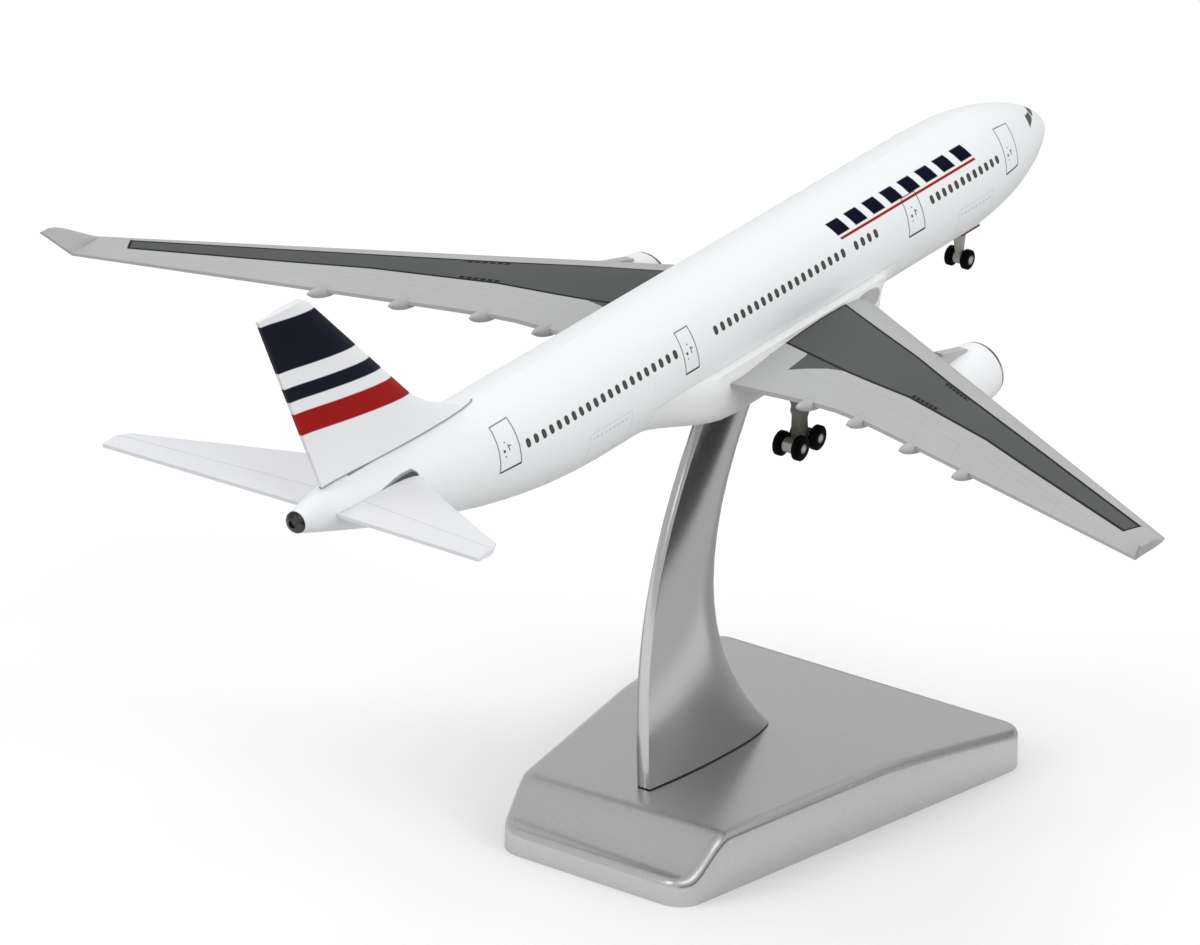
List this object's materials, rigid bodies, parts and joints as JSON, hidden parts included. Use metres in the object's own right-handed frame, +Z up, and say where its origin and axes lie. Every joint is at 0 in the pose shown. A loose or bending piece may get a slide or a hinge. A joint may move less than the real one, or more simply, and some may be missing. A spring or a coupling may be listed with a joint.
{
  "type": "desktop airliner model",
  "caption": "Die-cast desktop model of a twin-engined wide-body airliner with its gear down, plugged on a curved silver display stand.",
  "frame": {"origin": "centre of the underside of the stand, on the table", "axes": "+X forward to the aircraft nose, +Y to its left wing, +Z up"},
  "size_m": [0.1201, 0.121, 0.0702],
  "materials": {
    "stand_silver": "satin metallic paint",
    "ballast": "plain",
    "steel": "bright",
    "body_white": "gloss paint",
    "wing_grey": "satin paint",
    "socket_brass": "plain",
    "dark_metal": "satin paint",
    "lip_metal": "bright paint",
    "gear_grey": "satin paint",
    "hub_grey": "satin",
    "tyre_black": "matt"
  },
  "bodies": {
    "stand": {"stand_base": "stand_silver", "base_plate": "ballast", "stand_arm": "stand_silver", "arm_screws": "steel", "arm_peg": "steel"},
    "aircraft": {"fuselage_left": "body_white", "fuselage_right": "body_white", "belly_fairing": "body_white", "belly_socket": "socket_brass", "tail_exhaust": "dark_metal", "fin": "body_white", "left_stabilizer": "body_white", "right_stabilizer": "body_white", "left_wing": "wing_grey", "right_wing": "wing_grey", "nose_leg": "gear_grey", "nose_doors": "gear_grey", "left_nacelle": "body_white", "left_inlet_ring": "lip_metal", "left_fan": "dark_metal", "left_core_nozzle": "dark_metal", "left_pylon": "wing_grey", "left_main_leg": "gear_grey", "right_nacelle": "body_white", "right_inlet_ring": "lip_metal", "right_fan": "dark_metal", "right_core_nozzle": "dark_metal", "right_pylon": "wing_grey", "right_main_leg": "gear_grey"},
    "nose_wheelset": {"nose_axle": "steel", "nose_hubs": "hub_grey", "nose_tyres": "tyre_black"},
    "left_fore_wheelset": {"left_fore_axle": "steel", "left_fore_hubs": "hub_grey", "left_fore_tyres": "tyre_black"},
    "left_aft_wheelset": {"left_aft_axle": "steel", "left_aft_hubs": "hub_grey", "left_aft_tyres": "tyre_black"},
    "right_fore_wheelset": {"right_fore_axle": "steel", "right_fore_hubs": "hub_grey", "right_fore_tyres": "tyre_black"},
    "right_aft_wheelset": {"right_aft_axle": "steel", "right_aft_hubs": "hub_grey", "right_aft_tyres": "tyre_black"}
  },
  "joints": [
    {"name": "lift_off", "type": "slide", "parent": "stand", "child": "aircraft", "axis": [-0.0576, 0, 0.9983], "range_m": [0, 0.015]},
    {"name": "nose_spin", "type": "hinge", "parent": "aircraft", "child": "nose_wheelset", "pos_m": [0.0365, 0, 0.04276], "axis": [0, 1, 0], "continuous": true},
    {"name": "left_fore_spin", "type": "hinge", "parent": "aircraft", "child": "left_fore_wheelset", "pos_m": [-0.00479, 0.0111, 0.041], "axis": [0, 1, 0], "continuous": true},
    {"name": "left_aft_spin", "type": "hinge", "parent": "aircraft", "child": "left_aft_wheelset", "pos_m": [-0.00746, 0.0111, 0.04084], "axis": [0, 1, 0], "continuous": true},
    {"name": "right_fore_spin", "type": "hinge", "parent": "aircraft", "child": "right_fore_wheelset", "pos_m": [-0.00479, -0.0111, 0.041], "axis": [0, 1, 0], "continuous": true},
    {"name": "right_aft_spin", "type": "hinge", "parent": "aircraft", "child": "right_aft_wheelset", "pos_m": [-0.00746, -0.0111, 0.04084], "axis": [0, 1, 0], "continuous": true}
  ]
}
